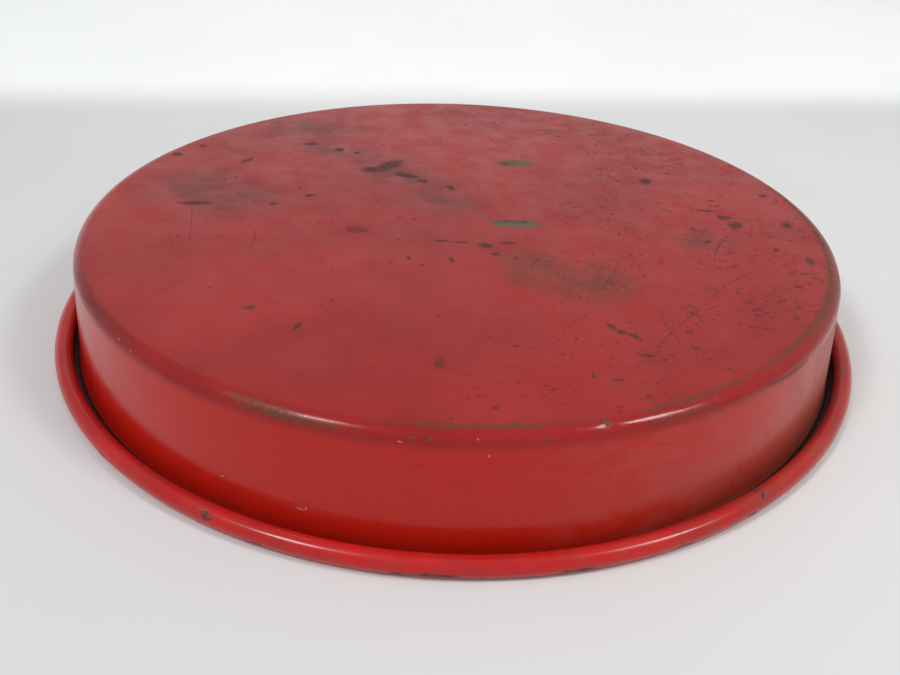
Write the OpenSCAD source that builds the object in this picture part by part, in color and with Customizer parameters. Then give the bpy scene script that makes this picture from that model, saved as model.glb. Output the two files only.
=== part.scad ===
// Round serving tray of pressed sheet steel with a hollow rolled rim.
// The tray lies face down: it stands on the crown of its rim, and the outside of its base is on top.
// The origin is the middle of the circle that the rim stands on, and +Z points to the outside of the base.
// One steel pressing carries thin coats, and each coat is a part of its own.

/* [Tray] */
// Diameter over the rolled rim
rim_d = 336.5; // [280:0.5:400]
// Height from the crown of the rim to the outside of the base
tray_h = 43.5; // [30:0.5:50]
// How far the rim stands out beyond the heel
rim_reach = 13.2; // [12.5:0.1:18]
// Lean of the wall, in degrees, outwards from the base to the rim
wall_lean = 6; // [0:0.5:7]
// Outside radius of the rounded heel between base and wall
heel_r = 5; // [3:0.5:9]

/* [Rolled rim] */
// Outside diameter of the hollow curl
curl_d = 6.8; // [5:0.1:7]
// Radius of the bend between the wall and the crown, on the serving side
bend_r = 2.6; // [2:0.1:3]
// Where the sheet's free edge stops: 90 is the top of the curl, and 180 faces the wall
curl_end = 176; // [120:1:200]

/* [Sheet and coats] */
// Thickness of the steel sheet
sheet_t = 0.45; // [0.3:0.05:0.6]
// Thickness of each coat of enamel or print
coat_t = 0.15; // [0.1:0.05:0.2]

/* [Hidden] */

// Facets of the sweep about the tray's axis
SWEEP_FN = 180;
// Straight steps in each arc of the section
HEEL_STEPS = 12;
BEND_STEPS = 8;
CURL_STEPS = 26;

steel_grey = [0.56, 0.55, 0.53];
back_red = [0.66, 0.16, 0.14];
rim_red = [0.76, 0.13, 0.15];
border_cream = [0.86, 0.80, 0.66];
face_green = [0.16, 0.34, 0.28];

// Depths run from the outside of the tray, through the sheet, to its serving side
steel_near = coat_t;
steel_far = coat_t + sheet_t;
full_t = sheet_t + 2 * coat_t;

// Middle of the heel's arc
heel_x = rim_d / 2 - rim_reach - heel_r;
heel_z = tray_h - heel_r;
// The outside of the wall is the line x * cos(wall_lean) + z * sin(wall_lean) = wall_k, tangent to the heel
wall_k = heel_x * cos(wall_lean) + heel_z * sin(wall_lean) + heel_r;
// Middle of the bend from the wall into the crown, tangent to the serving side of the wall
bend_x = (wall_k - full_t + bend_r - bend_r * sin(wall_lean)) / cos(wall_lean);
// Middle of the curl
curl_r = curl_d / 2;
curl_x = rim_d / 2 - curl_r;

// Points along an arc about [x, z]
function arc(x, z, r, from, to, steps) = [
    for (i = [0:steps])
        let (angle = from + (to - from) * i / steps)
            [x + r * cos(angle), z + r * sin(angle)]
];

// The section's landmarks at a depth; the base, the wall and the crown are the straight lines between them
function base_middle(depth) = [0, tray_h - depth];
function heel_arc(depth) = arc(heel_x, heel_z, heel_r - depth, 90, wall_lean, HEEL_STEPS);
function bend_arc(depth) = arc(bend_x, bend_r, bend_r - full_t + depth, 180 + wall_lean, 270, BEND_STEPS);
function curl_arc(depth) = arc(curl_x, curl_r, curl_r - full_t + depth, -90, curl_end, CURL_STEPS);

// Lines through the section at a depth
function sheet_line(depth) = concat([base_middle(depth)], heel_arc(depth), bend_arc(depth), curl_arc(depth));
function rim_line(depth) = concat(bend_arc(depth), curl_arc(depth));
function wall_line(depth) = concat(heel_arc(depth), [bend_arc(depth)[0]]);
function face_line(depth) = [base_middle(depth), heel_arc(depth)[0]];

function backwards(points) = [for (i = [len(points) - 1:-1:0]) points[i]];

// Turns the layer between two lines about the tray's axis
module turned_layer(near, far) {
    rotate_extrude($fn = SWEEP_FN)
        polygon(concat(near, backwards(far)));
}

// The whole sheet of steel, from the middle of the base to the free edge of the curl
module pan() {
    color(steel_grey)
        turned_layer(sheet_line(steel_near), sheet_line(steel_far));
}

// Red enamel over the outside of the base and wall, and on into the hollow of the curl
module back_enamel() {
    color(back_red)
        turned_layer(sheet_line(0), sheet_line(steel_near));
}

// Red enamel over the crown and round the outside of the curl, up to the free edge
module rim_enamel() {
    color(rim_red)
        turned_layer(rim_line(steel_far), rim_line(full_t));
}

// Printed border round the inside of the heel and down the inside of the wall
module wall_print() {
    color(border_cream)
        turned_layer(wall_line(steel_far), wall_line(full_t));
}

// Printed disc over the flat of the serving face
module face_print() {
    color(face_green)
        turned_layer(face_line(steel_far), face_line(full_t));
}

pan();
back_enamel();
rim_enamel();
wall_print();
face_print();
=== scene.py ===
"""Round pressed-steel advertising tray, lying face down on a pale table.

Every piece is a thin solid of revolution made from the same section as the CAD model, in the same
frame, and bent by one warp that stands for the small unevenness of a used tray. The enamel's wear is
drawn by node materials from places given in millimetres in the tray's own frame.
"""
import math

import bmesh
import bpy
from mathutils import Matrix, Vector, noise


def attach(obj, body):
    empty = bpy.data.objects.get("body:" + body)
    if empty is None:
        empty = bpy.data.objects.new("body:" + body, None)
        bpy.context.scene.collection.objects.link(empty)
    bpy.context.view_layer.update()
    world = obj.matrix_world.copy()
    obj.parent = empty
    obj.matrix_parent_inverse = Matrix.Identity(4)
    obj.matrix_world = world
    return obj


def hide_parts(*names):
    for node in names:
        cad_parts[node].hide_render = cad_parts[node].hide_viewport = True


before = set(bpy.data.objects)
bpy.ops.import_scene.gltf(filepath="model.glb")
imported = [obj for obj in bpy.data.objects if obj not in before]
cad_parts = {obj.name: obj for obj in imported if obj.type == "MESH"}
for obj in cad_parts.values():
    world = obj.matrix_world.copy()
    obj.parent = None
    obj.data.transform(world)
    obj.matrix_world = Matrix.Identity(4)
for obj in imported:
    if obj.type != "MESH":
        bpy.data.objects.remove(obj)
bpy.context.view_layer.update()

MM = 0.001

# The section, in millimetres, as the CAD model has it
RIM_RADIUS = 168.25
TRAY_HEIGHT = 43.5
RIM_REACH = 13.2
WALL_LEAN = 6.0
HEEL_RADIUS = 5.0
CURL_RADIUS = 3.4
BEND_RADIUS = 2.6
CURL_END = 176
SHEET = 0.45
COAT = 0.15
STEEL_NEAR = COAT
STEEL_FAR = COAT + SHEET
FULL = SHEET + 2 * COAT

HEEL_X = RIM_RADIUS - RIM_REACH - HEEL_RADIUS
HEEL_Z = TRAY_HEIGHT - HEEL_RADIUS
LEAN = math.radians(WALL_LEAN)
WALL_K = HEEL_X * math.cos(LEAN) + HEEL_Z * math.sin(LEAN) + HEEL_RADIUS
BEND_X = (WALL_K - FULL + BEND_RADIUS * (1 - math.sin(LEAN))) / math.cos(LEAN)
CURL_X = RIM_RADIUS - CURL_RADIUS

# How finely the surfaces are divided
TURNS = 480
BASE_RINGS = 22
HEEL_STEPS = 16
WALL_STEPS = 8
BEND_STEPS = 8
CURL_STEPS = 26
# Edges sharper than this, in degrees, are shaded as edges
SHARP_ANGLE = 50


# ---------------------------------------------------------------- the section

def arc(x, z, radius, start, stop, steps):
    """Points along an arc about (x, z), from one angle in degrees to another."""
    angles = [math.radians(start + (stop - start) * i / steps) for i in range(steps + 1)]
    return [(x + radius * math.cos(a), z + radius * math.sin(a)) for a in angles]


def straight(start, stop, steps):
    """Points between two ends, without the ends."""
    shares = [i / steps for i in range(1, steps)]
    return [tuple(a + (b - a) * s for a, b in zip(start, stop)) for s in shares]


def base_line(depth):
    middle = (0.0, TRAY_HEIGHT - depth)
    return [middle] + straight(middle, (HEEL_X, TRAY_HEIGHT - depth), BASE_RINGS)


def heel_arc(depth):
    return arc(HEEL_X, HEEL_Z, HEEL_RADIUS - depth, 90, WALL_LEAN, HEEL_STEPS)


def bend_arc(depth):
    return arc(BEND_X, BEND_RADIUS, BEND_RADIUS - FULL + depth, 180 + WALL_LEAN, 270, BEND_STEPS)


def wall_line(depth):
    return straight(heel_arc(depth)[-1], bend_arc(depth)[0], WALL_STEPS)


def curl_arc(depth):
    return arc(CURL_X, CURL_RADIUS, CURL_RADIUS - FULL + depth, -90, CURL_END, CURL_STEPS)


def sheet_line(depth):
    """The whole section at a depth below the outside of the tray."""
    return base_line(depth) + heel_arc(depth) + wall_line(depth) + bend_arc(depth) + curl_arc(depth)


def rim_line(depth):
    return bend_arc(depth) + curl_arc(depth)


def border_line(depth):
    return heel_arc(depth) + wall_line(depth) + bend_arc(depth)[:1]


def face_line(depth):
    return base_line(depth) + heel_arc(depth)[:1]


# ---------------------------------------------------------------- shapes

# Unevenness of the used sheet, in millimetres. The base sags, with its full depth from a run-in on.
SAG = 0.16
SAG_VARIATION = 0.16
SAG_GRAIN = 60
SAG_RUN_IN = 45
# The wall stands in and out a little between these heights, and outside these radii
FLUTE_DEPTH = 0.10
FLUTE_COUNT = 9
FLUTE_HEIGHT = 60
FLUTE_BOTTOM = (7, 16)
FLUTE_TOP = (44, 36)
FLUTE_INSIDE = (120, 150)
# The rim ripples a little outside these radii; the slice picks which of many ripples it has
RIPPLE_DEPTH = 0.05
RIPPLE_COUNT = 14
RIPPLE_SLICE = 3.0
RIPPLE_INSIDE = (159.5, 163)


def smooth(low, high, value):
    """0 at low, 1 at high, and a smooth rise between them."""
    share = min(1.0, max(0.0, (value - low) / (high - low)))
    return share * share * (3 - 2 * share)


# A small dent in the heel: degrees round from the front, and degrees over from the flat
DENT_AROUND = 17.3
DENT_TILT = 42
DENT_SIZE = 2.0
DENT_DEPTH = 0.4


def dent_centre():
    around, tilt = math.radians(DENT_AROUND), math.radians(DENT_TILT)
    radius = HEEL_X + HEEL_RADIUS * math.sin(tilt)
    height = HEEL_Z + HEEL_RADIUS * math.cos(tilt)
    return Vector((radius * math.sin(around), -radius * math.cos(around), height))


DENT = dent_centre()


def warp(x, y, z):
    """Moves a point, in millimetres, by the unevenness of the sheet that it belongs to."""
    point = Vector((x, y, z))
    radius = math.hypot(x, y)
    outward = Vector((x / radius, y / radius, 0)) if radius else Vector((0, 0, 0))
    on_base = smooth(HEEL_X, HEEL_X - SAG_RUN_IN, radius)
    point.z -= on_base * (SAG + SAG_VARIATION * noise.noise(point / SAG_GRAIN))
    on_wall = smooth(*FLUTE_BOTTOM, z) * smooth(*FLUTE_TOP, z) * smooth(*FLUTE_INSIDE, radius)
    flute = noise.noise(Vector((outward.x * FLUTE_COUNT, outward.y * FLUTE_COUNT, z / FLUTE_HEIGHT)))
    point += outward * (on_wall * FLUTE_DEPTH * flute)
    on_rim = smooth(*RIPPLE_INSIDE, radius)
    ripple = noise.noise(Vector((outward.x * RIPPLE_COUNT, outward.y * RIPPLE_COUNT, RIPPLE_SLICE)))
    point += outward * (on_rim * RIPPLE_DEPTH * (ripple - 1))
    away = (Vector((x, y, z)) - DENT).length
    push = DENT_DEPTH * math.exp(-((away / DENT_SIZE) ** 2))
    tilt = math.radians(DENT_TILT)
    inward = outward * -math.sin(tilt) + Vector((0, 0, -math.cos(tilt)))
    return (point + inward * push) * MM


def lathe(name, near, far):
    """A closed solid of revolution between two lines of the section."""
    outline = near + far[::-1]
    points = []
    rings = []
    for radius, height in outline:
        start = len(points)
        if radius == 0:
            points.append(warp(0, 0, height))
            rings.append([start] * TURNS)
            continue
        for turn in range(TURNS):
            angle = 2 * math.pi * turn / TURNS
            points.append(warp(radius * math.sin(angle), -radius * math.cos(angle), height))
        rings.append(list(range(start, start + TURNS)))
    faces = []
    for here, there in zip(rings, rings[1:] + rings[:1]):
        if here[0] == here[1] and there[0] == there[1]:
            continue
        for turn in range(TURNS):
            after = (turn + 1) % TURNS
            corners = [here[turn], here[after], there[after], there[turn]]
            faces.append(list(dict.fromkeys(corners)))
    mesh = bpy.data.meshes.new(name)
    mesh.from_pydata(points, [], faces)
    shell = bmesh.new()
    shell.from_mesh(mesh)
    bmesh.ops.recalc_face_normals(shell, faces=shell.faces)
    shell.to_mesh(mesh)
    shell.free()
    mesh.shade_smooth()
    mesh.set_sharp_from_angle(angle=math.radians(SHARP_ANGLE))
    piece = bpy.data.objects.new(name, mesh)
    bpy.context.collection.objects.link(piece)
    return piece


# ---------------------------------------------------------------- materials

class Paint:
    """A node material under construction. Its methods add nodes and return output sockets."""

    def __init__(self, name):
        self.material = bpy.data.materials.new(name)
        self.material.use_nodes = True
        self.nodes = self.material.node_tree.nodes
        self.links = self.material.node_tree.links
        self.shader = self.nodes["Principled BSDF"]
        coordinates = self.nodes.new("ShaderNodeTexCoord").outputs["Object"]
        self.here = self.vector("SCALE", coordinates, scale=1 / MM)

    def feed(self, socket, value):
        """Links an output to a socket, or sets the socket to a plain value."""
        if isinstance(value, bpy.types.NodeSocket):
            self.links.new(value, socket)
        else:
            socket.default_value = value

    def math(self, operation, a, b=0.0, c=0.0):
        node = self.nodes.new("ShaderNodeMath")
        node.operation = operation
        for socket, value in zip(node.inputs, (a, b, c)):
            self.feed(socket, value)
        return node.outputs[0]

    def vector(self, operation, a, b=(0, 0, 0), scale=None):
        node = self.nodes.new("ShaderNodeVectorMath")
        node.operation = operation
        self.feed(node.inputs[0], a)
        self.feed(node.inputs[1], b)
        if scale is not None:
            self.feed(node.inputs["Scale"], scale)
        return node.outputs["Value" if operation == "LENGTH" else "Vector"]

    def split(self, where):
        node = self.nodes.new("ShaderNodeSeparateXYZ")
        self.feed(node.inputs[0], where)
        return node.outputs

    def channels(self, colour):
        node = self.nodes.new("ShaderNodeSeparateColor")
        self.feed(node.inputs[0], colour)
        return node.outputs

    def degrees_round(self, x, y):
        """Degrees round the tray's axis from the front, -Y, towards +X."""
        angle = self.math("ARCTAN2", x, self.math("MULTIPLY", y, -1.0))
        return self.math("MULTIPLY", angle, 180 / math.pi)

    def join(self, x, y, z=0.0):
        node = self.nodes.new("ShaderNodeCombineXYZ")
        for socket, value in zip(node.inputs, (x, y, z)):
            self.feed(socket, value)
        return node.outputs[0]

    def window(self, value, low, high, to_low=0.0, to_high=1.0):
        """A smooth step: to_low at low and to_high at high, whichever of them is the greater."""
        node = self.nodes.new("ShaderNodeMapRange")
        node.interpolation_type = "SMOOTHSTEP"
        self.feed(node.inputs["Value"], value)
        self.feed(node.inputs["From Min"], low)
        self.feed(node.inputs["From Max"], high)
        self.feed(node.inputs["To Min"], to_low)
        self.feed(node.inputs["To Max"], to_high)
        return node.outputs["Result"]

    def near(self, value, middle, reach):
        """1 where the value is the middle one, and 0 from reach away."""
        distance = self.math("ABSOLUTE", self.math("SUBTRACT", value, middle))
        return self.window(distance, reach, 0.0)

    def stretches(self, value, marks):
        """The greatest of some soft stretches, each with a middle, a reach and a strength."""
        return self.most(self.times(self.near(value, middle, reach), strength)
                         for middle, reach, strength in marks)

    def placed(self, where, move=(0, 0, 0), turn=0.0, size=(1, 1, 1)):
        """Coordinates as seen from a mark that has a place, a turn in degrees and a size."""
        node = self.nodes.new("ShaderNodeMapping")
        node.vector_type = "TEXTURE"
        self.feed(node.inputs["Vector"], where)
        node.inputs["Location"].default_value = move
        node.inputs["Rotation"].default_value = (0, 0, math.radians(turn))
        node.inputs["Scale"].default_value = size
        return node.outputs[0]

    def noise(self, where, size, detail=3.0, rough=0.55, seed=0.0, colour=False):
        """Noise with a grain of a size in millimetres; size may differ along X, Y and Z."""
        sizes = size if isinstance(size, tuple) else (size, size, size)
        node = self.nodes.new("ShaderNodeTexNoise")
        moved = self.placed(where, move=(seed, -2 * seed, 3 * seed), size=sizes)
        self.feed(node.inputs["Vector"], moved)
        node.inputs["Scale"].default_value = 1.0
        node.inputs["Detail"].default_value = detail
        node.inputs["Roughness"].default_value = rough
        return node.outputs["Color" if colour else "Fac"]

    def shaken(self, where, amount, size, detail=3.0, seed=0.0):
        """Coordinates moved about by noise, which makes an outline ragged or a line crooked."""
        chance = self.channels(self.noise(where, size, detail, seed=seed, colour=True))
        shift = self.vector("SUBTRACT", self.join(*chance[:3]), (0.5, 0.5, 0.5))
        return self.vector("ADD", where, self.vector("SCALE", shift, scale=2 * amount))

    def seen(self, where, x, y, half_x, half_y, turn):
        """Flat coordinates from the middle of a mark, 1 at its ends and at its sides."""
        where = self.vector("SUBTRACT", where, (x, y, 0))
        if turn:
            node = self.nodes.new("ShaderNodeVectorRotate")
            node.rotation_type = "Z_AXIS"
            self.feed(node.inputs["Vector"], where)
            node.inputs["Angle"].default_value = math.radians(-turn)
            where = node.outputs["Vector"]
        return self.vector("MULTIPLY", where, (1 / half_x, 1 / half_y, 0))

    def blot(self, where, x, y, half_x, half_y, turn=0.0, soft=0.35):
        """An oval mark: 1 inside and 0 outside."""
        away = self.vector("LENGTH", self.seen(where, x, y, half_x, half_y, turn))
        return self.window(away, 1 + soft, 1 - soft)

    def line(self, where, start, stop, half_width, bow=0.0, soft=0.6):
        """A scratch between two points, thin at its ends; bow is how far its middle stands to the left."""
        across, up = stop[0] - start[0], stop[1] - start[1]
        middle = ((start[0] + stop[0]) / 2, (start[1] + stop[1]) / 2)
        turn = math.degrees(math.atan2(up, across))
        seen = self.seen(where, *middle, math.hypot(across, up) / 2, half_width, turn)
        along, aside, _ = self.split(seen)
        lift = bow / half_width
        square = self.math("MULTIPLY", along, along)
        aside = self.math("MULTIPLY_ADD", square, lift, self.math("SUBTRACT", aside, lift))
        reach = self.math("ADD", self.math("ABSOLUTE", aside), self.math("MULTIPLY", square, square))
        return self.window(reach, 1 + soft, 1 - soft)

    def most(self, masks):
        """The greatest of some masks. Each joins the total as soon as it is made."""
        total = None
        for mask in masks:
            total = mask if total is None else self.math("MAXIMUM", total, mask)
        return total

    def blots(self, where, marks, soft=0.35):
        return self.most(self.blot(where, *mark, soft=soft) for mark in marks)

    def lines(self, where, marks):
        return self.most(self.line(where, *mark) for mark in marks)

    def times(self, *masks):
        total = masks[0]
        for mask in masks[1:]:
            total = self.math("MULTIPLY", total, mask)
        return total

    def mix(self, share, under, over):
        """Two colours mixed by a share."""
        node = self.nodes.new("ShaderNodeMix")
        node.data_type = "RGBA"
        self.feed(node.inputs["Factor"], share)
        for socket, value in ((node.inputs[6], under), (node.inputs[7], over)):
            self.feed(socket, value if isinstance(value, bpy.types.NodeSocket) else (*value, 1.0))
        return node.outputs[2]

    def blend(self, share, under, over):
        """Two numbers mixed by a share."""
        node = self.nodes.new("ShaderNodeMix")
        for socket, value in zip((node.inputs[0], node.inputs[2], node.inputs[3]), (share, under, over)):
            self.feed(socket, value)
        return node.outputs[0]

    def specks(self, where, spacing, size, density, seed=0.0):
        """Scattered spots of random sizes up to a radius; density, 0 to 1, says how many show."""
        node = self.nodes.new("ShaderNodeTexVoronoi")
        node.inputs["Scale"].default_value = 1.0
        moved = self.placed(where, (seed, seed / 2, -seed), 0, (spacing,) * 3)
        self.feed(node.inputs["Vector"], moved)
        chance = self.channels(node.outputs["Color"])
        shown = self.math("LESS_THAN", chance[0], density)
        reach = self.blend(chance[1], 0.25 * size / spacing, size / spacing)
        inner = self.math("MULTIPLY", reach, 0.5)
        spot = self.window(node.outputs["Distance"], reach, inner)
        return self.math("MULTIPLY", spot, shown)

    def hairlines(self, where, turn, length, spacing, width, density, seed=0.0):
        """Scattered straight scratches that run one way, in degrees from +X."""
        node = self.nodes.new("ShaderNodeTexVoronoi")
        node.voronoi_dimensions = "2D"
        node.inputs["Scale"].default_value = 1.0
        seen = self.placed(where, (seed, -seed, 0), turn, (length, spacing, 1))
        self.feed(node.inputs["Vector"], seen)
        away = self.split(self.vector("SUBTRACT", seen, node.outputs["Position"]))
        chance = self.channels(node.outputs["Color"])
        across = self.window(self.math("ABSOLUTE", away[1]), width / spacing, 0.2 * width / spacing)
        along = self.window(self.math("ABSOLUTE", away[0]), 0.5, 0.25)
        shown = self.math("LESS_THAN", chance[0], density)
        strength = self.window(chance[1], 0.0, 1.0, 0.35, 1.0)
        return self.times(across, along, shown, strength)

    def start(self, colour, gloss):
        """The sound coat, before cover() lays wear on it."""
        self.colour = colour
        self.gloss = gloss
        self.harm = 0.0

    def cover(self, mask, tone, opacity=1.0, harm=0.0):
        """Lays a tone over the colour where the mask is; harm says how rough it leaves it."""
        self.colour = self.mix(self.math("MULTIPLY", mask, opacity), self.colour, tone)
        if harm:
            self.harm = self.math("MAXIMUM", self.math("MULTIPLY", mask, harm), self.harm)

    def bump(self, height, distance, under=None):
        """Relief from a height of 0 to 1; distance is its depth in millimetres."""
        node = self.nodes.new("ShaderNodeBump")
        node.inputs["Strength"].default_value = 1.0
        node.inputs["Distance"].default_value = distance * MM
        self.feed(node.inputs["Height"], height)
        if under is not None:
            self.feed(node.inputs["Normal"], under)
        return node.outputs["Normal"]

    def finish(self, colour, roughness, normal=None, **plain):
        """Feeds the shader; plain values are the same all over."""
        self.feed(self.shader.inputs["Base Color"], colour)
        self.feed(self.shader.inputs["Roughness"], roughness)
        if normal is not None:
            self.feed(self.shader.inputs["Normal"], normal)
        for name, value in plain.items():
            self.feed(self.shader.inputs[name.replace("_", " ")], value)
        return self.material


# Colours, as linear red, green and blue
BACK_RED = (0.36, 0.014, 0.012)
BACK_RED_DEEP = (0.29, 0.011, 0.010)
BACK_RED_FADED = (0.38, 0.030, 0.026)
# A brighter copy of the back enamel for the wall: painted light
WALL_RED_PAINTED_LIGHT = (0.50, 0.013, 0.006)
RIM_RED = (0.62, 0.010, 0.012)
RIM_RED_DEEP = (0.50, 0.009, 0.011)
DUST_BROWN = (0.16, 0.075, 0.045)
SMUDGE = (0.085, 0.022, 0.018)
SCUFF_DARK = (0.050, 0.026, 0.020)
PRIMER_GREEN = (0.135, 0.098, 0.060)
WORN_OLIVE = (0.105, 0.055, 0.028)
HATCH_BROWN = (0.105, 0.042, 0.020)
PALE_CHIP = (0.52, 0.30, 0.24)
# A paler, pinker red that is painted sheen on the right of the wall
WALL_PAINTED_SHEEN = (0.47, 0.045, 0.032)
RUST_DARK = (0.070, 0.017, 0.012)
RUST_BROWN = (0.125, 0.036, 0.016)
# Near black: painted shade in the groove between the wall and the curl
CREVICE_PAINTED_SHADE = (0.030, 0.004, 0.005)
STEEL_DULL = (0.30, 0.28, 0.26)
STEEL_BRIGHT = (0.44, 0.42, 0.39)
BORDER_CREAM = (0.72, 0.62, 0.38)
BORDER_TANNED = (0.62, 0.50, 0.28)
BORDER_GREEN = (0.035, 0.11, 0.07)
FACE_GREEN = (0.032, 0.115, 0.075)
FACE_GREEN_DEEP = (0.020, 0.085, 0.055)
FACE_GOLD = (0.55, 0.42, 0.18)
FACE_CREAM = (0.70, 0.60, 0.38)
FACE_RED = (0.45, 0.02, 0.018)
FACE_SCRATCH = (0.42, 0.36, 0.26)
# The table's colours in painted shade and in painted light
TABLE_SHADED = (0.70, 0.70, 0.715)
TABLE_LIT = (0.83, 0.825, 0.81)
TABLE_GREY = (0.74, 0.735, 0.72)

# Radii on the wall and the heel where a degree round the tray is turned into millimetres
WALL_RADIUS = 158
HEEL_MID_RADIUS = 155
# The groove between the wall and the curl begins, and is painted dark all over as shade, at these radii
GROOVE_START = 158.8
GROOVE_FULL = 159.8

# Marks on the base: x, y, half length and half width in millimetres, and turn in degrees.
# Scrapes down to the greenish primer, and the darker rub inside each
SCRAPES = (
    (26, 59, 9.5, 4.2, 6),
    (24, -12, 11, 4.0, 3),
)
SCRAPE_CORES = (
    (22, 58, 4.0, 2.2, 6),
    (23, -10, 8.0, 1.8, 4),
)
# Flat dark ovals
OVALS = (
    (-41, -24, 4.6, 3.2, -6),
    (-4, -119, 1.9, 3.2, 0),
)
# Dark scuffs with broken edges
SCUFFS = (
    (-34, 49, 9, 3.8, 56),
    (-42, 43, 4.5, 3.4, 10),
    (-25, 37, 5.5, 2.8, -12),
    (-17, 31, 2.6, 2.2, 0),
    (-5, 24, 1.4, 2.6, 40),
    (-60, 68, 2.2, 2.4, 0),
    (-51, 64, 1.6, 1.8, 0),
    (-76, 74, 3.5, 1.8, 0),
    (-136, 52, 2.2, 2.2, 0),
    (-128, 65, 1.6, 1.4, 0),
    (-102, 48, 4.0, 1.4, 50),
    (-113, -4, 7.0, 1.8, 4),
    (-65, 9, 2.6, 1.6, 40),
    (-80, -1, 1.4, 1.2, 0),
    (-70, -89, 1.9, 1.2, 0),
    (-52, -100, 0.9, 2.6, -22),
    (-18, -47, 0.9, 1.2, 0),
    (-13, -53, 1.2, 0.9, 0),
    (-2, -48, 1.0, 1.6, 0),
    (-6, -31, 3.2, 0.8, 8),
    (1, -32, 4.0, 0.7, 0),
    (11, -34, 2.6, 1.8, 0),
    (20, -31, 3.2, 0.8, 0),
    (15, -41, 1.8, 1.3, 0),
    (53, -92, 1.5, 2.4, 20),
    (56, -96, 1.9, 1.3, -20),
    (60, -98, 2.4, 1.1, -28),
    (62, -109, 2.8, 1.0, -10),
    (87, 42, 2.6, 4.2, -20),
    (109, 10, 3.2, 1.2, 0),
    (114, 3, 2.4, 2.0, -40),
    (117, -4, 2.8, 3.4, -30),
    (140, -2, 1.6, 2.4, 0),
    (138, 30, 1.4, 1.8, 0),
    (128, -27, 1.2, 1.8, -30),
    (138, -36, 1.4, 2.2, 0),
    (127, -58, 1.2, 1.2, 0),
    (43, -122, 0.35, 1.7, 0),
    (29, -129, 1.2, 0.6, 0),
)
# Patches of small rust spots
RUST_PATCHES = (
    (20, 123, 7, 12, 0),
    (42, 108, 7, 9, 0),
    (56, 92, 14, 5, -8),
    (88, 10, 7, 5, 0),
    (87, -6, 4, 6, 0),
    (140, -2, 7, 8, 0),
    (132, -48, 9, 10, 0),
)
# Soft dark rubs, with no edge
SMUDGES = (
    (-117, 12, 20, 20, 20),
    (-98, 0, 18, 16, 30),
    (-79, 96, 18, 12, 0),
    (-60, 66, 22, 9, -20),
    (-24, 34, 22, 12, -30),
    (-10, 8, 16, 12, -20),
    (98, -22, 9, 7, 60),
)
# Single scratches: two ends, half the width and the bow
SCRATCHES = (
    ((18, -25), (85, 43), 0.20, 0.6),
    ((115, -11), (100, -40), 0.24, -2.0),
    ((124, -40), (87, -77), 0.22, -3.5),
    ((88, -76), (64, -108), 0.19, -1.0),
    ((87, -79), (94, -74), 0.24, 0),
    ((72, -78), (73, -95), 0.20, -0.8),
    ((78, -99), (78, -113), 0.16, 0.8),
    ((133, -44), (137, -57), 0.23, 1.4),
    ((38, 110), (64, 111), 0.61, 0),
    ((-113, -7), (-105, -40), 0.18, 0.6),
    ((-104, -41), (-90, -32), 0.20, -1.4),
    ((-113, -36), (-106, -47), 0.20, -1.6),
    ((-82, -27), (-80, -46), 0.24, 1.2),
    ((-103, -83), (-97, -69), 0.20, 0),
    ((-2, 3), (36, 6), 0.15, 1.6),
    ((2, -126), (7, -124), 0.23, 0),
    ((15, -120), (22, -117), 0.18, 0),
    ((22, -59), (33, -42), 0.18, 0.4),
    ((52, -68), (64, -39), 0.18, -0.6),
    ((37, -94), (48, -82), 0.18, 0),
    ((42, -12), (63, 12), 0.14, 0),
    ((104, -35), (114, -25), 0.18, 0),
    ((97, -29), (105, -14), 0.16, 0),
    ((-52, -21), (-47, 6), 0.14, 2.0),
    ((-40, 19), (-10, -27), 0.14, -4.0),
    ((-128, -6), (-70, 40), 0.15, 3.0),
)
# The two areas of the base that are hatched with scratches
HATCHED_AREAS = (
    (30, -53, 11, 14, 20),
    (49, -61, 14, 13, 0),
)
# Families of straight scratches: direction in degrees, length, spacing, width, share shown and seed
HATCHING = (
    (58, 15, 1.2, 0.30, 0.80, 3),
    (70, 18, 1.3, 0.28, 0.75, 11),
    (44, 12, 1.5, 0.26, 0.65, 17),
)
STRAYS = (
    (20, 34, 13, 0.26, 0.42, 5),
    (64, 26, 12, 0.24, 0.40, 9),
    (-35, 28, 14, 0.22, 0.38, 14),
    (-4, 16, 8, 0.28, 0.34, 31),
)
# Rust specks: spacing, largest radius and seed, in millimetres
RUST_SPECKS = (
    (1.7, 0.45, 13),
    (3.2, 0.9, 2),
    (6.5, 1.5, 7),
)
# Stretches of heel with worn enamel: middle and reach in degrees round from the front, and strength
EDGE_WEAR = (
    (4, 22, 0.85),
    (30, 16, 0.95),
)
SHOULDER_WEAR = (
    (-17, 13, 1.0),
    (27, 12, 0.85),
    (45, 10, 1.0),
)
# Marks on the heel: millimetres round from the front, millimetres over from the flat, and the rest as above
HEEL_MARKS = (
    (46.6, 1.6, 0.9, 1.9, 8),
    (19.5, -1.1, 0.8, 0.9, 0),
    (-10.5, 4.8, 1.1, 0.4, 4),
    (-5.5, 4.7, 0.8, 0.5, 0),
    (28, 4.8, 2.4, 0.3, 0),
)
PALE_CHIPS = (
    (-13.8, 6.2, 0.7, 0.2, 4),
    (8.0, 4.3, 0.3, 0.2, 0),
    (-120, 4.6, 0.3, 0.3, 0),
    (-112, 5.0, 0.6, 0.2, 0),
)
# Chips on the wall: millimetres round from the front, height, and the rest as above
WALL_CHIPS = (
    (-72, 13.5, 0.4, 0.3, 0),
    (-44.5, 11.0, 1.2, 0.25, -12),
    (-42.5, 11.6, 0.3, 0.6, 0),
    (11.6, 36.8, 0.25, 0.4, 0),
)
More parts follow.
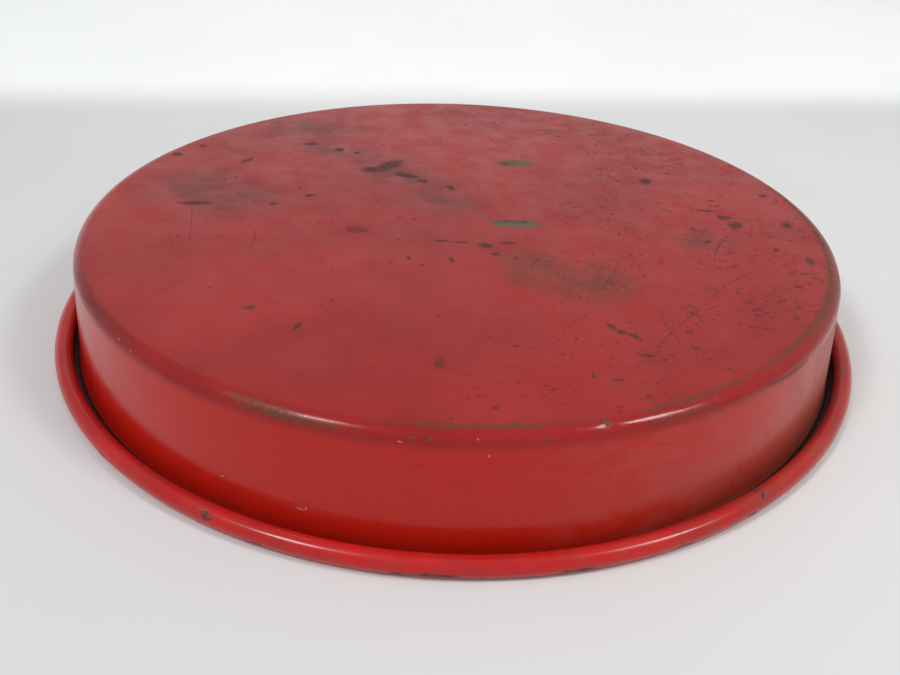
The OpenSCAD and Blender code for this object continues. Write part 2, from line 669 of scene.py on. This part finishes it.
# Chips on the rim: millimetres round from the front, height, half length, half width and turn
RIM_CHIPS = (
    (-76, 5.4, 2.6, 0.9, -8),
    (-2.5, 2.6, 7.0, 0.8, 0),
    (-13, 2.0, 3.0, 0.5, 0),
    (40, 2.3, 5.5, 0.8, 0),
    (76, 2.0, 4.0, 0.5, 0),
    (110, 6.2, 2.0, 0.5, 12),
    (104, 3.0, 2.4, 0.5, 0),
    (-58, 2.2, 3.0, 0.5, 0),
    (-128, 2.6, 5.0, 0.7, 0),
)


class BackPaint(Paint):
    """Red enamel on the outside of the base and wall, worn most on the base and round the heel.

    The marks are laid on in order, each over the ones before.
    """

    def __init__(self):
        super().__init__("worn_back_enamel")
        self.x, y, self.z = self.split(self.here)
        self.radius = self.vector("LENGTH", self.join(self.x, y))
        self.around = self.degrees_round(self.x, y)
        across = self.math("SUBTRACT", self.radius, HEEL_X)
        self.over = self.math("ARCTAN2", across, self.math("SUBTRACT", self.z, HEEL_Z))
        self.tilt = self.math("MULTIPLY", self.over, 180 / math.pi)
        self.on_base = self.window(self.radius, 152, 149)
        self.on_wall = self.window(self.z, 40, 37)
        self.patchy = self.noise(self.here, 14, 4, 0.65, seed=20)
        self.fine = self.noise(self.here, 2.2, 4, 0.65, seed=40)
        self.grain = self.noise(self.here, 0.8, 2, 0.6, seed=90)
        self.streaks = self.noise(self.here, (3.5, 3.5, 60), 3, 0.6, seed=81)

    def sound_coat(self):
        """The enamel itself, glossier on the wall, faded in patches on the base; the wall takes a brighter
        copy of the red, which is painted light.
        """
        wall_gloss = self.window(self.streaks, 0.3, 0.7, 0.13, 0.22)
        base_gloss = self.window(self.patchy, 0.3, 0.7, 0.28, 0.46)
        broad = self.noise(self.here, 55, 4, 0.6)
        enamel = self.mix(self.window(broad, 0.36, 0.64), BACK_RED_DEEP, BACK_RED)
        gloss = self.blend(self.on_base, wall_gloss, base_gloss)
        # Painted light: the wall gets a brighter red than the base of the same enamel
        self.start(self.mix(self.on_wall, enamel, WALL_RED_PAINTED_LIGHT), gloss)
        faded = self.window(self.noise(self.here, 32, 5, 0.65, seed=60), 0.42, 0.70)
        self.cover(self.times(faded, self.on_base), BACK_RED_FADED, 0.55)
        self.cover(self.window(self.fine, 0.50, 0.75), BACK_RED_DEEP, 0.45)

    def rubs(self):
        """Soft smudges, two hatched areas, stray fine scratches and the single scratches."""
        self.bent = self.shaken(self.here, 2.5, 30, 2)
        smudges = self.times(self.blots(self.bent, SMUDGES, 0.9), self.on_base)
        self.cover(self.times(smudges, self.window(self.patchy, 0.26, 0.58)), SMUDGE, 0.62)
        area = self.blots(self.bent, HATCHED_AREAS, 0.8)
        self.cover(self.times(area, self.window(self.patchy, 0.28, 0.62)), HATCH_BROWN, 0.46)
        hatching = self.most(self.hairlines(self.here, *way) for way in HATCHING)
        self.cover(self.times(hatching, self.window(area, 0.0, 0.5)), HATCH_BROWN, 0.9, 0.4)
        strays = self.most(self.hairlines(self.bent, *way) for way in STRAYS)
        self.cover(self.times(strays, self.on_base), SMUDGE, 0.5)
        crooked = self.shaken(self.here, 0.35, 5, 2)
        broken = self.window(self.fine, 0.34, 0.58, 0.25, 1.0)
        self.cover(self.times(self.lines(crooked, SCRATCHES), broken), SCUFF_DARK, 0.9, 0.7)

    def rust_and_scuffs(self):
        """Rust on the base, thicker to the right, then scuffs, brown ovals and scrapes."""
        ragged = self.shaken(self.shaken(self.here, 2.2, 9), 0.9, 1.6, 2)
        clumps = self.window(self.noise(self.here, 16, 3, 0.6, seed=70), 0.34, 0.64)
        rusty = self.times(self.window(self.x, -70, 100, 0.14, 0.75), clumps)
        rusty = self.most([rusty, self.times(self.blots(self.bent, RUST_PATCHES, 0.8), 0.8)])
        least = self.blend(rusty, 0.70, 0.49)
        flaking = self.noise(ragged, (3.0, 1.9, 3.0), 5, 0.75, seed=77)
        flakes = self.window(flaking, least, self.math("ADD", least, 0.05))
        self.cover(self.times(flakes, self.on_base), RUST_DARK, 0.72, 0.6)
        specks = self.most(self.specks(ragged, spacing, size, rusty, seed)
                           for spacing, size, seed in RUST_SPECKS)
        self.cover(self.times(specks, self.on_base), RUST_DARK, 0.62, 0.7)
        scuffs = self.times(self.blots(ragged, SCUFFS, 0.5), self.on_base)
        self.cover(self.times(scuffs, self.window(self.grain, 0.26, 0.50)), SCUFF_DARK, 0.92, 0.8)
        wavy = self.shaken(self.here, 1.1, 3.5, 3)
        ovals = self.times(self.blots(wavy, OVALS, 0.35), self.window(self.fine, 0.25, 0.60, 0.35, 1.0))
        self.cover(ovals, SCUFF_DARK, 0.62, 0.6)
        scrapes = self.times(self.blots(wavy, SCRAPES, 0.2), self.window(self.fine, 0.22, 0.40, 0.7, 1.0))
        self.cover(scrapes, PRIMER_GREEN, 0.95, 0.8)
        cores = self.times(self.blots(wavy, SCRAPE_CORES, 0.4), self.window(self.fine, 0.35, 0.55))
        self.cover(cores, SCUFF_DARK, 0.75, 0.8)

    def heel_wear(self):
        """The heel is worn along two lines: where it leaves the flat, and low on its shoulder."""
        around, tilt = self.around, self.tilt
        heel = self.join(self.times(around, HEEL_MID_RADIUS * math.pi / 180),
                         self.times(self.over, HEEL_RADIUS))
        rubbed = self.noise(heel, (6, 2.2, 1), 5, 0.78, seed=33)
        right = self.times(self.window(around, 34, 46), self.window(around, 120, 96))
        tone = self.mix(self.window(self.grain, 0.45, 0.75), RUST_BROWN, WORN_OLIVE)
        far_right = self.times(self.window(around, 50, 60), self.window(around, 104, 86))
        gritty = self.window(self.grain, 0.40, 0.52, 0.2, 1.0)
        bare = self.times(self.window(rubbed, 0.36, 0.46), gritty)
        self.cover(self.times(self.near(tilt, 28, 52), far_right, bare), tone, 0.8, 0.6)
        low = self.blend(self.most([self.stretches(around, EDGE_WEAR), right]), 0.62, 0.34)
        edge = self.times(self.near(tilt, 3, 26), self.window(rubbed, low, self.math("ADD", low, 0.08)))
        self.cover(self.times(edge, gritty), tone, 0.95, 0.7)
        self.cover(self.times(self.near(tilt, 40, 40), self.near(around, -21, 8), bare), tone, 0.85, 0.7)
        # Painted shade with dirt: a broad dark band over the left of the heel
        grime_and_shade = self.times(self.near(tilt, 34, 44), self.near(around, -55, 20))
        self.cover(self.times(grime_and_shade, self.window(rubbed, 0.34, 0.52)), RUST_DARK, 0.7, 0.5)
        chance = self.noise(heel, (2.4, 1.0, 1), 4, 0.75, seed=51)
        busy = self.stretches(around, SHOULDER_WEAR)
        dashes = self.math("GREATER_THAN", chance, self.blend(busy, 0.68, 0.42))
        shoulder = self.window(around, 36, 45, 55, 84)
        self.cover(self.times(self.near(tilt, shoulder, 20), dashes), tone, 0.9, 0.8)
        nibbled = self.shaken(heel, 0.35, 1.2, 2)
        marks = self.times(self.blots(nibbled, HEEL_MARKS), self.window(self.grain, 0.25, 0.45))
        self.cover(marks, WORN_OLIVE, 0.85, 0.8)
        self.cover(self.blots(nibbled, PALE_CHIPS), PALE_CHIP, 0.7)

    def wall_wear(self):
        """A pinker right side that is painted sheen, a dusty film low on the wall, specks, chips and the
        groove painted dark as shade.
        """
        # Painted sheen: a paler, pinker red over the right of the wall stands for the pinkish reflection
        # there
        sheen_patch = self.window(self.noise(self.here, (20, 20, 10), 4, 0.6, seed=66), 0.42, 0.62)
        sheen_patch = self.times(sheen_patch, self.window(self.x, 11, 59), self.on_wall)
        self.cover(sheen_patch, WALL_PAINTED_SHEEN, 0.6, 0.3)
        film = self.times(self.window(self.z, 27, 4), self.window(self.x, 22, 120), self.on_wall)
        self.cover(self.times(film, self.window(self.grain, 0.26, 0.62)), DUST_BROWN, 0.75, 0.5)
        far_right = self.times(self.window(self.around, 38, 62), self.window(self.around, 130, 100))
        self.cover(self.times(far_right, self.on_wall), DUST_BROWN, 0.4, 0.4)
        specks = self.specks(self.shaken(self.here, 0.8, 2), 7.5, 0.8, 0.22, 21)
        self.cover(self.times(specks, self.on_wall), RUST_DARK, 0.8, 0.8)
        unrolled = self.join(self.times(self.around, WALL_RADIUS * math.pi / 180), self.z)
        self.cover(self.blots(self.shaken(unrolled, 0.3, 1.0, 2), WALL_CHIPS), PALE_CHIP, 0.7)
        # Painted shade: the groove between the wall and the curl is painted nearly black
        self.cover(self.window(self.radius, GROOVE_START, GROOVE_FULL), CREVICE_PAINTED_SHADE, 0.96, 0.5)


def back_paint():
    p = BackPaint()
    p.sound_coat()
    p.rubs()
    p.rust_and_scuffs()
    p.heel_wear()
    p.wall_wear()
    gloss = p.blend(p.harm, p.gloss, 0.75)
    return p.finish(p.colour, gloss, p.bump(p.fine, 0.012, p.bump(p.streaks, 0.02)), Specular_IOR_Level=0.31)


def rim_paint():
    """Brighter red enamel on the rim, chipped along its outer edge."""
    p = Paint("worn_rim_enamel")
    x, y, z = p.split(p.here)
    along = p.join(p.times(p.degrees_round(x, y), RIM_RADIUS * math.pi / 180), z)
    ragged = p.shaken(along, 0.9, 2.0, 3)
    broad = p.noise(p.here, 30, 4, 0.6)
    fine = p.noise(p.here, 1.4, 4, 0.65, seed=44)
    colour = p.mix(p.window(broad, 0.36, 0.64), RIM_RED_DEEP, RIM_RED)
    chips = p.blots(ragged, RIM_CHIPS)
    low_edge = p.window(z, 3.4, 1.0)
    edge_specks = p.times(p.specks(ragged, 3.4, 0.9, 0.42, 5), low_edge)
    stray_specks = p.specks(ragged, 6.5, 0.55, 0.16, 15)
    dusty = p.window(p.noise(p.here, 8, 3, 0.6, seed=12), 0.15, 0.85)
    colour = p.mix(p.times(dusty, p.window(x, 14, 145, 0.25, 0.6)), colour, DUST_BROWN)
    chipped = p.most([chips, edge_specks, stray_specks])
    tone = p.mix(p.window(fine, 0.40, 0.62), RUST_DARK, DUST_BROWN)
    colour = p.mix(p.times(chipped, 0.9), colour, tone)
    gloss = p.blend(chipped, p.window(broad, 0.3, 0.7, 0.16, 0.26), 0.7)
    relief = p.math("SUBTRACT", p.times(fine, 0.08), chipped)
    return p.finish(colour, gloss, p.bump(relief, 0.08), Specular_IOR_Level=0.35)


def bare_steel():
    """The sheet itself, which shows at its cut edge inside the curl."""
    p = Paint("dull_sheet_steel")
    fine = p.noise(p.here, 1.2, 4, 0.65)
    broad = p.noise(p.here, 12, 3, 0.6, seed=8)
    colour = p.mix(p.window(fine, 0.40, 0.60), STEEL_DULL, STEEL_BRIGHT)
    rust = p.window(broad, 0.46, 0.62)
    colour = p.mix(p.times(rust, 0.8), colour, RUST_BROWN)
    gloss = p.blend(rust, 0.38, 0.8)
    metal = p.window(rust, 0.0, 1.0, 0.9, 0.1)
    return p.finish(colour, gloss, p.bump(fine, 0.03), Metallic=metal)


# Lines of the printed border: height and half width
BORDER_LINES = (
    (12, 1.0),
    (34, 1.6),
    (30, 0.5),
)
# Rings of the serving face: radius and half width
FACE_RINGS = (
    (38, 2.2),
    (118, 2.6),
    (124, 0.9),
    (141, 1.8),
)
# The rays, where they start and stop, and the red disc in the middle
RAYS = 24
RAYS_START = 41
RAYS_STOP = 113
HUB_RADIUS = 28
# Families of fine scratches on the serving face: direction, length, spacing, width, share shown and seed
FACE_HAIRLINES = (
    (35, 30, 6, 0.25, 0.5, 2),
    (-50, 24, 7, 0.22, 0.5, 6),
)


def border_paint():
    """A cream printed border with plain lines, under varnish."""
    p = Paint("worn_border_print")
    z = p.split(p.here)[2]
    fine = p.noise(p.here, 1.6, 4, 0.65)
    broad = p.noise(p.here, 25, 4, 0.6, seed=4)
    colour = p.mix(p.window(broad, 0.35, 0.65), BORDER_TANNED, BORDER_CREAM)
    lines = p.most(p.near(z, *line) for line in BORDER_LINES)
    colour = p.mix(lines, colour, BORDER_GREEN)
    specks = p.specks(p.shaken(p.here, 0.8, 2), 3.2, 0.7, p.window(broad, 0.45, 0.7, 0.05, 0.4), 3)
    colour = p.mix(specks, colour, RUST_DARK)
    gloss = p.blend(specks, p.window(broad, 0.3, 0.7, 0.18, 0.32), 0.7)
    return p.finish(colour, gloss, p.bump(p.math("SUBTRACT", p.times(fine, 0.1), specks), 0.06))


def face_paint():
    """The serving face: plain rings round a field of rays, under scratched varnish."""
    p = Paint("worn_face_print")
    x, y = p.split(p.here)[:2]
    radius = p.vector("LENGTH", p.join(x, y))
    angle = p.math("ARCTAN2", x, y)
    broad = p.noise(p.here, 40, 4, 0.6)
    fine = p.noise(p.here, 1.8, 4, 0.65, seed=5)
    colour = p.mix(p.window(broad, 0.35, 0.65), FACE_GREEN_DEEP, FACE_GREEN)
    rays = p.window(p.math("SINE", p.times(angle, RAYS)), -0.08, 0.08)
    field = p.times(p.window(radius, RAYS_START, RAYS_START + 1), p.window(radius, RAYS_STOP, RAYS_STOP - 1))
    colour = p.mix(p.times(rays, field), colour, FACE_GOLD)
    cream = p.most(p.near(radius, *ring) for ring in FACE_RINGS)
    colour = p.mix(cream, colour, FACE_CREAM)
    colour = p.mix(p.window(radius, HUB_RADIUS, HUB_RADIUS - 1), colour, FACE_RED)
    scratches = p.most(p.hairlines(p.here, *way) for way in FACE_HAIRLINES)
    specks = p.specks(p.shaken(p.here, 0.8, 2), 4.2, 0.8, p.window(broad, 0.48, 0.72, 0.03, 0.35), 3)
    colour = p.mix(p.times(scratches, 0.5), colour, FACE_SCRATCH)
    colour = p.mix(specks, colour, RUST_DARK)
    gloss = p.blend(specks, p.window(broad, 0.3, 0.7, 0.16, 0.30), 0.7)
    damage = p.most([specks, p.times(scratches, 0.5)])
    return p.finish(colour, gloss, p.bump(p.math("SUBTRACT", p.times(fine, 0.1), damage), 0.06))


# The table's reach to the sides and the front, and the bend and the top of its backdrop, in metres
TABLE_HALF = 2.5
BACKDROP_DISTANCE = 1.15
BACKDROP_BEND = 0.3
BACKDROP_HEIGHT = 2.2
BEND_PIECES = 12
# Where the lit part of the table begins behind the tray's middle, and where the backdrop's light
# fades out upwards, in millimetres. The turn, in degrees, sets how the edge of the lit part runs.
LIT_START, LIT_FULL = 262, 352
FADE_START, FADE_END = 340, 700
TABLE_TURN = 7
GLOW_COLOUR = (0.96, 0.99, 1.0, 1.0)
GLOW_STRENGTH = 0.29
# The table top goes from cooler painted shade to paler, warmer painted light between these places, along X
# and half of Y, in millimetres
SHADED_AT, LIT_AT = -420, 160


def table_paint():
    """Pale laminate, with painted shade towards the left front, and a painted glow behind the tray."""
    p = Paint("pale_table")
    x, y, z = p.split(p.here)
    broad = p.noise(p.here, 180, 3, 0.5)
    fine = p.noise(p.here, 3, 3, 0.5, seed=9)
    # Painted shade: darker towards the left front, paler towards the right back
    shade_to_light = p.window(p.math("ADD", x, p.times(y, 0.5)), SHADED_AT, LIT_AT)
    colour = p.mix(shade_to_light, TABLE_SHADED, TABLE_LIT)
    colour = p.mix(p.window(broad, 0.35, 0.65, 0.0, 0.3), colour, TABLE_GREY)
    # Painted glow: the table and backdrop give off light behind the tray, though they are no lamp
    glow = p.times(p.window(y, LIT_START, LIT_FULL), p.window(z, FADE_END, FADE_START), GLOW_STRENGTH)
    return p.finish(colour, p.window(broad, 0.3, 0.7, 0.42, 0.5), p.bump(fine, 0.02),
                    Emission_Color=GLOW_COLOUR, Emission_Strength=glow)


# ---------------------------------------------------------------- pieces

def dress(piece, node, material):
    piece.data.materials.append(material)
    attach(piece, "root")
    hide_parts(node)


def tray():
    pan = lathe("pressed_steel_pan", sheet_line(STEEL_NEAR), sheet_line(STEEL_FAR))
    dress(pan, "pan", bare_steel())
    back = lathe("back_enamel_coat", sheet_line(0), sheet_line(STEEL_NEAR))
    dress(back, "back_enamel", back_paint())
    rim = lathe("rim_enamel_coat", rim_line(STEEL_FAR), rim_line(FULL))
    dress(rim, "rim_enamel", rim_paint())
    border = lathe("border_print_coat", border_line(STEEL_FAR), border_line(FULL))
    dress(border, "wall_print", border_paint())
    face = lathe("face_print_coat", face_line(STEEL_FAR), face_line(FULL))
    dress(face, "face_print", face_paint())


def table():
    """A pale table top that turns up into a backdrop far behind the tray."""
    bend = [math.radians(90 * i / BEND_PIECES) for i in range(1, BEND_PIECES + 1)]
    line = [(-TABLE_HALF, 0.0), (BACKDROP_DISTANCE, 0.0)]
    line += [(BACKDROP_DISTANCE + BACKDROP_BEND * math.sin(a), BACKDROP_BEND * (1 - math.cos(a)))
             for a in bend]
    line += [(BACKDROP_DISTANCE + BACKDROP_BEND, BACKDROP_HEIGHT)]
    points = [(side, y, z) for y, z in line for side in (-TABLE_HALF, TABLE_HALF)]
    faces = [(2 * i, 2 * i + 1, 2 * i + 3, 2 * i + 2) for i in range(len(line) - 1)]
    mesh = bpy.data.meshes.new("table")
    mesh.from_pydata(points, [], faces)
    mesh.shade_smooth()
    mesh.materials.append(table_paint())
    floor = bpy.data.objects.new("table", mesh)
    floor.rotation_euler.z = math.radians(TABLE_TURN)
    bpy.context.collection.objects.link(floor)


# ---------------------------------------------------------------- light and camera

# Softboxes: name, degrees round from the front, degrees up, and power in watts
SOFTBOXES = (
    ("left_softbox", -50, 54, 5.0),
    ("right_softbox", 70, 50, 4.7),
)
# Their distance and size, and the point that they look at, in metres
SOFTBOX_DISTANCE = 1.3
SOFTBOX_SIZE = 0.26
SOFTBOX_TARGET = Vector((0, 0, 0.02))
SKY_COLOUR = (0.95, 0.98, 1.0, 1.0)
SKY_STRENGTH = 0.52
# The camera: its place in metres, its turn in degrees, and its lens and sensor in millimetres
CAMERA_PLACE = (0, -0.3423, 0.1927)
CAMERA_TURN = (57.97, -1.93, 1.49)
CAMERA_LENS = 34.47
SENSOR_WIDTH = 36


def softbox(name, around, height, power):
    """A square light that looks at the tray."""
    a, e = math.radians(around), math.radians(height)
    place = SOFTBOX_DISTANCE * Vector((math.sin(a) * math.cos(e), -math.cos(a) * math.cos(e), math.sin(e)))
    data = bpy.data.lights.new(name, "AREA")
    data.shape = "SQUARE"
    data.size = SOFTBOX_SIZE
    data.energy = power
    lamp = bpy.data.objects.new(name, data)
    lamp.location = place
    lamp.rotation_euler = (SOFTBOX_TARGET - place).to_track_quat("-Z", "Y").to_euler()
    bpy.context.collection.objects.link(lamp)


def lights():
    for box in SOFTBOXES:
        softbox(*box)
    world = bpy.data.worlds.new("studio")
    world.use_nodes = True
    sky = world.node_tree.nodes["Background"]
    sky.inputs["Color"].default_value = SKY_COLOUR
    sky.inputs["Strength"].default_value = SKY_STRENGTH
    bpy.context.scene.world = world


def camera():
    data = bpy.data.cameras.new("camera")
    data.sensor_width = SENSOR_WIDTH
    data.lens = CAMERA_LENS
    viewer = bpy.data.objects.new("camera", data)
    viewer.location = CAMERA_PLACE
    viewer.rotation_euler = [math.radians(angle) for angle in CAMERA_TURN]
    bpy.context.collection.objects.link(viewer)
    bpy.context.scene.camera = viewer


tray()
table()
lights()
camera()
bpy.context.scene.view_settings.view_transform = "Standard"
